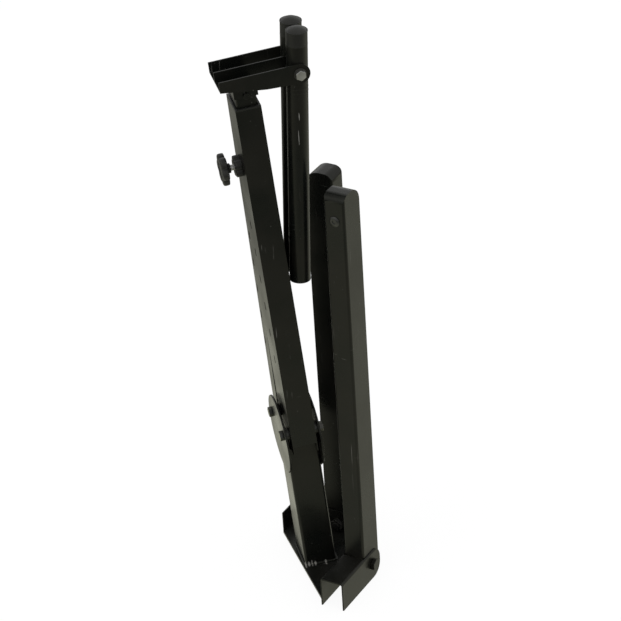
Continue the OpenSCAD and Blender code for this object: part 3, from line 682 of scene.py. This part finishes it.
class Workshop:
    """Keeps the materials and puts finished pieces on their bodies."""

    def __init__(self) -> None:
        """Builds every finish once."""
        groups = Groups(
            wear=use_wear_group(), dust=use_dust_group(), grain=use_grain_group(),
            placed=use_placed_group(),
        )
        self.materials = {slot: finish.build(groups) for slot, finish in FINISHES.items()}
        self.count = 0

    def dress(self, obj: bpy.types.Object, slot: Slot) -> None:
        """Gives an object one finish all over."""
        obj.data.materials.clear()
        obj.data.materials.append(self.materials[slot])

    def seat(self, obj: bpy.types.Object, body: Body, slot: Slot, *stands_for: str) -> None:
        """Dresses a new piece and lets it ride on its body.

        Args:
            obj: the piece, at the origin with its place in its mesh.
            body: the body that carries it.
            slot: its finish.
            stands_for: CAD nodes that it replaces.
        """
        self.dress(obj, LOOKS.get(stands_for[0], slot) if stands_for else slot)
        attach(obj, body.value)
        if stands_for:
            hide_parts(*stands_for)
        self.count += 1
        LOG.info("%s: %d faces on %s", obj.name, len(obj.data.polygons), body.value)

    def soften(self, node: str, body: Body, slot: Slot, width: float) -> None:
        """Shows a CAD node through a copy whose sharp edges are rounded.

        Args:
            node: the CAD node's name.
            body: the body that carries it.
            slot: its finish.
            width: width of the rounding in metres.
        """
        mesh = frame["nodes"][node].data.copy()
        mesh.name = node + "_soft"
        bm = bmesh.new()
        bm.from_mesh(mesh)
        bmesh.ops.remove_doubles(bm, verts=bm.verts, dist=COPY_MERGE)
        bmesh.ops.dissolve_limit(bm, angle_limit=FLAT_ANGLE, verts=bm.verts, edges=bm.edges)
        bm.to_mesh(mesh)
        bm.free()
        if "custom_normal" in mesh.attributes:
            mesh.attributes.remove(mesh.attributes["custom_normal"])
        mesh.polygons.foreach_set("use_smooth", np.ones(len(mesh.polygons), bool))
        obj = bpy.data.objects.new(node + "_soft", mesh)
        bpy.context.scene.collection.objects.link(obj)
        bevel = obj.modifiers.new("rounded_edges", "BEVEL")
        bevel.width = width
        bevel.segments = EDGE_SEGMENTS
        bevel.limit_method = "ANGLE"
        bevel.angle_limit = EDGE_ANGLE
        bevel.harden_normals = False
        bevel.use_clamp_overlap = True
        shade = obj.modifiers.new("flat_faces", "WEIGHTED_NORMAL")
        shade.weight = FACE_WEIGHT
        shade.keep_sharp = False
        self.seat(obj, body, slot, node)


# Sub-assemblies


@dataclass(frozen=True)
class Lobes:
    """Hollows between the lobes of a rim, in millimetres.

    The radius loses depth (1 - |cos(count a / 2)| to the power of roundness) from the outer radius
    on, less and less inwards, and nothing inside the inner radius.
    """

    count: int
    depth: float
    inner: float
    outer: float
    roundness: float = 0.8

    def rule(self, r: np.ndarray, h: np.ndarray, a: np.ndarray) -> np.ndarray:
        """Takes the hollows off the radius, whatever the height.

        Args:
            r: radius in metres.
            h: height in metres, not used.
            a: angle in radians.

        Returns:
            The lobed radius in metres.
        """
        hollow = 1.0 - np.abs(np.cos(self.count * a / 2.0)) ** self.roundness
        return r - self.depth * MM * hollow * smoothstep(self.inner * MM, self.outer * MM, r)


@dataclass(frozen=True)
class ClampKnob:
    """Lobed hand knob, its lobed collar and the thread of its stud, in millimetres."""

    height: float = 449.0
    face: float = 18.25
    lobes: Lobes = Lobes(count=6, depth=4.6, inner=7.5, outer=16.0)
    collar_lobes: Lobes = Lobes(count=5, depth=3.4, inner=5.0, outer=11.0)
    knob_outline: tuple[Corner, ...] = (
        (0, 15.3, 0), (6.9, 15.3, 0.8), (7.1, 19.0, 1.6), (14, 20.4, 4), (22.9, 20.4, 2.8),
        (22.9, 29.8, 3.2), (13, 29.8, 2), (11, 28.6, 2), (0, 28.6, 0),
    )
    collar_outline: tuple[Corner, ...] = (
        (4.2, 0, 0), (15.9, 0, 0.6), (15.9, 9.9, 2.2), (8.0, 9.9, 1.0), (7.6, 9.2, 0.4), (4.2, 9.2, 0),
    )
    knob_steps: int = 144
    collar_steps: int = 120
    thread_from: float = 9.4
    thread_to: float = 15.5
    thread_fade: float = 0.4
    thread_core: float = 3.9
    thread_rise: float = 0.2
    thread_depth: float = 0.22
    thread_pitch: float = 1.25
    thread_around: int = 40
    thread_along: int = 62

    def place(self) -> Place:
        """Frame of the clamp: z out of the column's left face."""
        column = column_place()
        origin = column.to_stand(np.array([-self.face, 0.0, self.height]) * MM)
        return Place(origin, column.y, column.z, -column.x)

    def build(self, shop: Workshop) -> None:
        """Makes the knob, the collar and the thread."""
        place = self.place()
        grid = revolved(rounded_profile(self.knob_outline), self.knob_steps, self.lobes.rule)
        knob = grid_object("knob_lobed", place.to_stand(grid), False, True)
        shop.seat(knob, Body.CLAMP, Slot.PLASTIC, "knob")
        outline = rounded_profile(self.collar_outline)
        grid = revolved(outline, self.collar_steps, self.collar_lobes.rule)
        collar = grid_object("collar_lobed", place.to_stand(grid), True, True)
        shop.seat(collar, Body.COLUMN, Slot.PLASTIC, "knob_collar")
        shop.seat(self.thread(place), Body.CLAMP, Slot.ZINC)

    def thread(self, place: Place) -> bpy.types.Object:
        """Makes the stud's thread, which fades out at both ends.

        The radius is core + fade (rise + depth cos(a - 2 pi h / pitch)).

        Args:
            place: the clamp's frame.

        Returns:
            The thread as an object.
        """
        low, high, fade = self.thread_from, self.thread_to, self.thread_fade
        angle = np.linspace(0.0, TAU, self.thread_around, endpoint=False)
        height = np.linspace(low, high, self.thread_along)
        h, a = np.meshgrid(height, angle, indexing="ij")
        inside = smoothstep(low, low + fade, h) * (1.0 - smoothstep(high - fade, high, h))
        wave = self.thread_rise + self.thread_depth * np.cos(a - TAU * h / self.thread_pitch)
        r = self.thread_core + inside * wave
        grid = np.stack([r * np.cos(a), r * np.sin(a), h], axis=-1) * MM
        return grid_object("stud_thread", place.to_stand(grid), False, True)


@dataclass(frozen=True)
class Ring:
    """A thin ring round an arm: its height over the pivot and how far it stands out, in millimetres."""

    at: float
    proud: float
    slot: Slot


@dataclass(frozen=True)
class Arm:
    """Rings and cap seams on one arm tube, in millimetres."""

    joint_name: str
    body: Body
    radius: float = 15.0
    half_width: float = 0.9
    sunk: float = 0.6
    rounding: float = 0.3
    steps: int = 96
    rings: tuple[Ring, ...] = (
        Ring(38.0, 0.12, Slot.PLASTIC), Ring(57.0, 0.35, Slot.PLASTIC),
        Ring(-25.0, 0.22, Slot.PAINT), Ring(-31.0, 0.22, Slot.PAINT),
        Ring(-326.0, 0.35, Slot.PLASTIC),
    )

    def outline(self, ring: Ring) -> np.ndarray:
        """Gives a ring's section: a low box with two rounded corners, its foot in the tube."""
        foot, crest = self.radius - self.sunk, self.radius + ring.proud
        low, high = ring.at - self.half_width, ring.at + self.half_width
        return rounded_profile([
            (foot, low, 0), (crest, low, self.rounding), (crest, high, self.rounding), (foot, high, 0),
        ], 4)

    def build(self, shop: Workshop) -> None:
        """Makes the thin rings that stand proud of the tube."""
        place = arm_place(self.joint_name)
        for ring in self.rings:
            grid = revolved(self.outline(ring), self.steps)
            name = f"{self.body.value}_ring_{int(ring.at) % 1000}"
            shop.seat(grid_object(name, place.to_stand(grid), True, True), self.body, ring.slot)


@dataclass(frozen=True)
class FootScrew:
    """Domed foot screw with a recess in its head, on a leg's web, in millimetres."""

    joint_name: str
    body: Body
    node: str
    leg_length: float
    from_tip: float = 40.0
    web: float = 22.0
    steps: int = 64
    outline: tuple[Corner, ...] = (
        (0, -21, 0), (2.95, -21, 0.5), (2.95, 0.1, 0), (8.0, 0.1, 0.2), (8.0, 0.9, 0.4),
        (5.0, 2.3, 0.9), (2.9, 2.3, 0.2), (2.5, 1.0, 0.3), (0, 0.7, 0),
    )

    def build(self, shop: Workshop) -> None:
        """Makes the head and shank by turning a profile about the screw's axis."""
        leg = leg_place(self.joint_name)
        origin = leg.to_stand(np.array([-self.web, 0.0, self.leg_length - self.from_tip]) * MM)
        place = Place(origin, leg.y, leg.z, -leg.x)
        grid = revolved(rounded_profile(self.outline), self.steps)
        screw = grid_object(self.node + "_domed", place.to_stand(grid), False, True)
        shop.seat(screw, self.body, Slot.ZINC, self.node)


@dataclass(frozen=True)
class Weld:
    """Section of a weld bead: radius, height of its ripples and their length, in millimetres."""

    radius: float
    ripple: float
    pitch: float

    def lay(self, path: np.ndarray, closed: bool = False) -> np.ndarray:
        """Gives the grid of points of a bead along a path in metres."""
        return bead(path, self.radius * MM, self.ripple * MM, self.pitch * MM, closed=closed)


@dataclass(frozen=True)
class Welds:
    """Weld beads of the foot frame and the disc hinge, in millimetres."""

    post_w: float = 47.0
    post_d: float = 60.0
    corner: float = 4.0
    plate_top: float = 14.0
    disc: float = 58.0
    foot_half: float = 18.7
    foot_seam_drop: float = -10.6
    channel_run: tuple[float, float] = (-88.0, 6.0)
    clevis_run: tuple[float, float] = (-4.0, 70.0)
    post_weld: Weld = Weld(radius=2.3, ripple=0.28, pitch=3.1)
    disc_weld: Weld = Weld(radius=1.5, ripple=0.2, pitch=2.6)
    foot_weld: Weld = Weld(radius=1.9, ripple=0.22, pitch=2.9)
    step: float = 0.8

    def foot_path(self, column: Place) -> np.ndarray:
        """Path round the post's foot: a round-cornered rectangle where the post meets the plate."""
        stand_off = 0.6
        over_plate = 0.5
        corner_points = 9
        t = np.linspace(0.0, 1.0, corner_points)
        r = self.corner + stand_off
        parts = []
        for i, (sx, sy) in enumerate([(1, -1), (1, 1), (-1, 1), (-1, -1)]):
            a = (i - 1) * RIGHT_ANGLE + t * RIGHT_ANGLE
            cx, cy = sx * (self.post_w / 2 - self.corner), sy * (self.post_d / 2 - self.corner)
            parts.append(np.stack([cx + r * np.cos(a), cy + r * np.sin(a)], axis=-1))
        corners = np.concatenate(parts + [parts[0][:1]])
        length = np.concatenate([[0], np.cumsum(np.linalg.norm(np.diff(corners, axis=0), axis=1))])
        s = np.arange(0.0, length[-1] - self.step / 2, self.step)
        plan = np.stack([np.interp(s, length, corners[:, k]) for k in (0, 1)], axis=-1)
        level = (self.plate_top + over_plate) * MM
        base = column.origin + plan[:, :1] * MM * column.x + plan[:, 1:] * MM * column.y
        drop = (level - base[:, 2]) / column.z[2]
        return base + drop[:, None] * column.z

    def disc_path(self, column: Place, side: int) -> np.ndarray:
        """Path along a disc's lower edge on the post's face: a circle's arc."""
        from_corner = 2.5
        stand_off = 0.9
        under_disc = 0.4
        arc_points = 64
        reach = math.asin((self.post_d / 2 - from_corner) / self.disc)
        a = np.linspace(-reach, reach, arc_points)
        x = np.full_like(a, side * (self.post_w / 2 + stand_off))
        local = np.stack([x, self.disc * np.sin(a), -(self.disc + under_disc) * np.cos(a)], axis=-1)
        return column.to_stand(local * MM)

    def seam_path(self, leg: Place, run: tuple[float, float]) -> np.ndarray:
        """Straight path along the foot, with a slight hand wobble: a sine of 0.25 mm."""
        stand_off = 0.5
        wobble = 0.25
        waves = 23.0
        seam_points = 90
        beside, level = self.foot_half + stand_off, self.foot_seam_drop
        start, end = (leg.to_stand(np.array([x, beside, level]) * MM) for x in run)
        t = np.linspace(0.0, 1.0, seam_points)[:, None]
        path = start + (end - start) * t
        path[:, 2] += wobble * MM * np.sin(t[:, 0] * waves)
        return path

    def build(self, shop: Workshop) -> None:
        """Makes the beads and lets them ride on the base."""
        column = column_place()
        grid = self.post_weld.lay(self.foot_path(column), closed=True)
        shop.seat(grid_object("weld_post_foot", grid, True, True), Body.BASE, Slot.PAINT)
        for side, name in ((-1, "weld_disc_left"), (1, "weld_disc_right")):
            grid = self.disc_weld.lay(self.disc_path(column, side))
            shop.seat(grid_object(name, grid, False, True), Body.BASE, Slot.PAINT)
        seams = {
            "weld_channel": (leg_place("front_leg_fold"), self.channel_run),
            "weld_clevis": (leg_place("rear_leg_fold"), self.clevis_run),
        }
        for name, (leg, run) in seams.items():
            grid = self.foot_weld.lay(self.seam_path(leg, run))
            shop.seat(grid_object(name, grid, False, True), Body.BASE, Slot.PAINT)


# Widths of the rounding of the CAD pieces' edges, in millimetres
EDGE_WIDTHS = {
    "base_plate": 0.7, "right_channel": 0.45, "left_clevis": 0.45, "lower_post": 0.45,
    "left_disc": 0.6, "right_disc": 0.6, "outer_column": 0.6, "column_collar": 0.7,
    "inner_post": 0.45, "post_head": 1.4, "top_bracket": 0.5, "front_leg_channel": 0.6,
    "rear_leg_channel": 0.6, "hinge_bolts": 0.5, "hinge_nuts": 0.4, "arm_bolt": 0.5,
    "arm_nut": 0.4, "arm_washers": 0.25, "bracket_bolts": 0.4, "head_bolt": 0.5,
    "front_leg_bolt": 0.5, "rear_leg_bolt": 0.5, "front_leg_nut": 0.4, "rear_leg_nut": 0.4,
    "front_leg_pad": 1.2, "rear_leg_pad": 1.2,
}


class SheetAndTube:
    """The CAD pieces: a finish for every one, and rounded edges for most."""

    @staticmethod
    def bodies() -> dict[str, Body]:
        """Finds the body that carries each CAD node."""
        groups = frame["record"]["behaviour"]["bodies"]
        return {node: Body(body) for body, nodes in groups.items() for node in nodes}

    def build(self, shop: Workshop) -> None:
        """Dresses all nodes and shows the large ones with rounded edges."""
        body_of = self.bodies()
        slot_of = {p["node"]: Slot(p["material_slot"]) for p in frame["record"]["subparts"]}
        for node, obj in frame["nodes"].items():
            shop.dress(obj, LOOKS.get(node, slot_of[node]))
        for node, width in EDGE_WIDTHS.items():
            shop.soften(node, body_of[node], slot_of[node], width * MM)


# Studio


# Side of the photograph and of the render, in pixels
IMAGE_SIDE = 621.0


@dataclass(frozen=True)
class Lamp:
    """A large soft lamp that looks at the stand's middle."""

    name: str
    place: tuple[float, float, float]
    energy: float
    size: float


@dataclass(frozen=True)
class Studio:
    """Camera, floor and light, in degrees, pixels and metres."""

    azimuth: float = -11.795
    elevation: float = 31.284
    roll: float = 3.957
    focal_px: float = 3000.0
    distance: float = 4.2898
    aim: tuple[float, float, float] = (-0.013363, 0.006032, 0.400)
    aim_px: tuple[float, float] = (289.54, 336.92)
    sensor: float = 36.0
    clip: tuple[float, float] = (0.05, 100.0)
    floor_side: float = 40.0
    floor_grey: float = 0.93
    floor_glow: float = 0.9
    floor_level: float = 1.03
    floor_rough: float = 0.9
    floor_ior: float = 1.2
    # Painted reflection: tint and levels of the floor's glow in glossy rays, which the stand's paint mirrors
    painted_reflection_tint: tuple[float, float, float, float] = (1.0, 1.0, 0.80, 1.0)
    painted_reflection_behind: tuple[float, float, float, float] = (0.15, 1.25, 0.95, 0.30)
    painted_reflection_before: tuple[float, float, float, float] = (-1.30, -0.70, 0.25, 1.0)
    sky_level: float = 0.85
    lamp_aim: tuple[float, float, float] = (0.0, 0.0, 0.45)
    lamps: tuple[Lamp, ...] = (
        Lamp("key", (-2.4, -1.6, 3.0), 16.0, 1.8),
        Lamp("fill", (2.6, -2.6, 2.2), 5.0, 2.2),
    )

    def camera(self) -> None:
        """Sets the camera at the photograph's angle, with a small shift for its framing."""
        a, e, roll = (math.radians(v) for v in (self.azimuth, self.elevation, self.roll))
        back = Vector((math.sin(a) * math.cos(e), -math.cos(a) * math.cos(e), math.sin(e)))
        level = Vector((math.cos(a), math.sin(a), 0.0))
        over = back.cross(level)
        right = level * math.cos(roll) - over * math.sin(roll)
        up = level * math.sin(roll) + over * math.cos(roll)
        data = bpy.data.cameras.new("camera")
        data.sensor_width = self.sensor
        data.lens = data.sensor_width * self.focal_px / IMAGE_SIDE
        data.shift_x = (IMAGE_SIDE / 2 - self.aim_px[0]) / IMAGE_SIDE
        data.shift_y = (self.aim_px[1] - IMAGE_SIDE / 2) / IMAGE_SIDE
        data.clip_start, data.clip_end = self.clip
        cam = bpy.data.objects.new("camera", data)
        bpy.context.scene.collection.objects.link(cam)
        turn = Matrix((right, up, back)).transposed().to_4x4()
        cam.matrix_world = Matrix.Translation(Vector(self.aim) + back * self.distance) @ turn
        bpy.context.scene.camera = cam

    @staticmethod
    def seen(sketch: Sketch) -> bpy.types.NodeSocket:
        """Gives 1 for camera, glossy and transmission rays and 0 for the rest."""
        path = sketch.node("LightPath")
        near = sketch.math("MAXIMUM", path.outputs["Is Camera Ray"], path.outputs["Is Glossy Ray"])
        return sketch.math("MAXIMUM", near, path.outputs["Is Transmission Ray"])

    def painted_reflection_level(self, sketch: Sketch) -> bpy.types.NodeSocket:
        """Gives the level of a painted reflection: how bright the floor glows in the stand's paint, less and less
        away from the stand.

        The two ranges hold the y where the level starts and ends to change, and the level at both.

        Args:
            sketch: the floor's sketch.

        Returns:
            The level's socket.
        """
        place = sketch.node("TexCoord").outputs["Object"]
        depth = sketch.node("SeparateXYZ", {0: place}).outputs["Y"]
        behind = sketch.ramp(depth, *self.painted_reflection_behind)
        before = sketch.ramp(depth, *self.painted_reflection_before)
        return sketch.math("MINIMUM", behind, before)

    def floor(self) -> None:
        """Lays a pale floor that keeps a soft shadow and otherwise shows as white, with a painted reflection: in
        glossy rays it glows with a tint, dimmer away from the stand.
        """
        mesh = bpy.data.meshes.new("floor")
        side = self.floor_side
        mesh.from_pydata([(-side, -side, 0), (side, -side, 0), (side, side, 0), (-side, side, 0)],
                         [], [(0, 1, 2, 3)])
        obj = bpy.data.objects.new("floor", mesh)
        bpy.context.scene.collection.objects.link(obj)
        material = bpy.data.materials.new("floor")
        material.use_nodes = True
        s = Sketch(material.node_tree)
        grey = (self.floor_grey, self.floor_grey, self.floor_grey, 1.0)
        cloth = s.node("BsdfPrincipled", {"Base Color": grey, "Roughness": self.floor_rough,
                                          "IOR": self.floor_ior})
        # Painted reflection: in glossy rays the floor glows with a yellow tint, dimmer behind and in front of the
        # stand
        mirrored = s.node("LightPath").outputs["Is Glossy Ray"]
        level = s.blend(mirrored, self.floor_level, self.painted_reflection_level(s))
        tone = s.mix(mirrored, WHITE, self.painted_reflection_tint)
        glow = s.node("Emission", {"Color": tone, "Strength": level})
        part = s.math("MULTIPLY", self.seen(s), self.floor_glow)
        both = s.node("MixShader", {0: part, 1: cloth.outputs[0], 2: glow.outputs[0]})
        s.node("OutputMaterial", {"Surface": both.outputs[0]})
        mesh.materials.append(material)

    def light(self) -> None:
        """Sets an even pale world and two large soft lamps."""
        world = bpy.data.worlds.new("world")
        world.use_nodes = True
        bpy.context.scene.world = world
        s = Sketch(world.node_tree)
        level = s.ramp(self.seen(s), 0.0, 1.0, self.sky_level, 1.0)
        sky = s.node("Background", {"Color": WHITE, "Strength": level})
        s.node("OutputWorld", {"Surface": sky.outputs[0]})
        for lamp in self.lamps:
            data = bpy.data.lights.new(lamp.name, "AREA")
            data.energy, data.size = lamp.energy, lamp.size
            obj = bpy.data.objects.new(lamp.name, data)
            bpy.context.scene.collection.objects.link(obj)
            obj.location = lamp.place
            aim = Vector(self.lamp_aim) - Vector(lamp.place)
            obj.rotation_euler = aim.to_track_quat("-Z", "Y").to_euler()
        bpy.context.scene.view_settings.view_transform = "Standard"

    def build(self) -> None:
        """Makes the camera, the floor and the light."""
        self.camera()
        self.floor()
        self.light()


def main() -> None:
    """Builds the studio and every sub-assembly in order."""
    logging.basicConfig(level=logging.INFO, format="%(message)s")
    Studio().build()
    shop = Workshop()
    SheetAndTube().build(shop)
    ClampKnob().build(shop)
    Arm("front_arm_swing", Body.FRONT_ARM).build(shop)
    Arm("rear_arm_swing", Body.REAR_ARM).build(shop)
    FootScrew("front_leg_fold", Body.FRONT_LEG, "front_leg_screw", 628.0).build(shop)
    FootScrew("rear_leg_fold", Body.REAR_LEG, "rear_leg_screw", 600.0).build(shop)
    Welds().build(shop)
    LOG.info("%d pieces made", shop.count)
    bpy.context.view_layer.update()


if __name__ == "__main__":
    main()
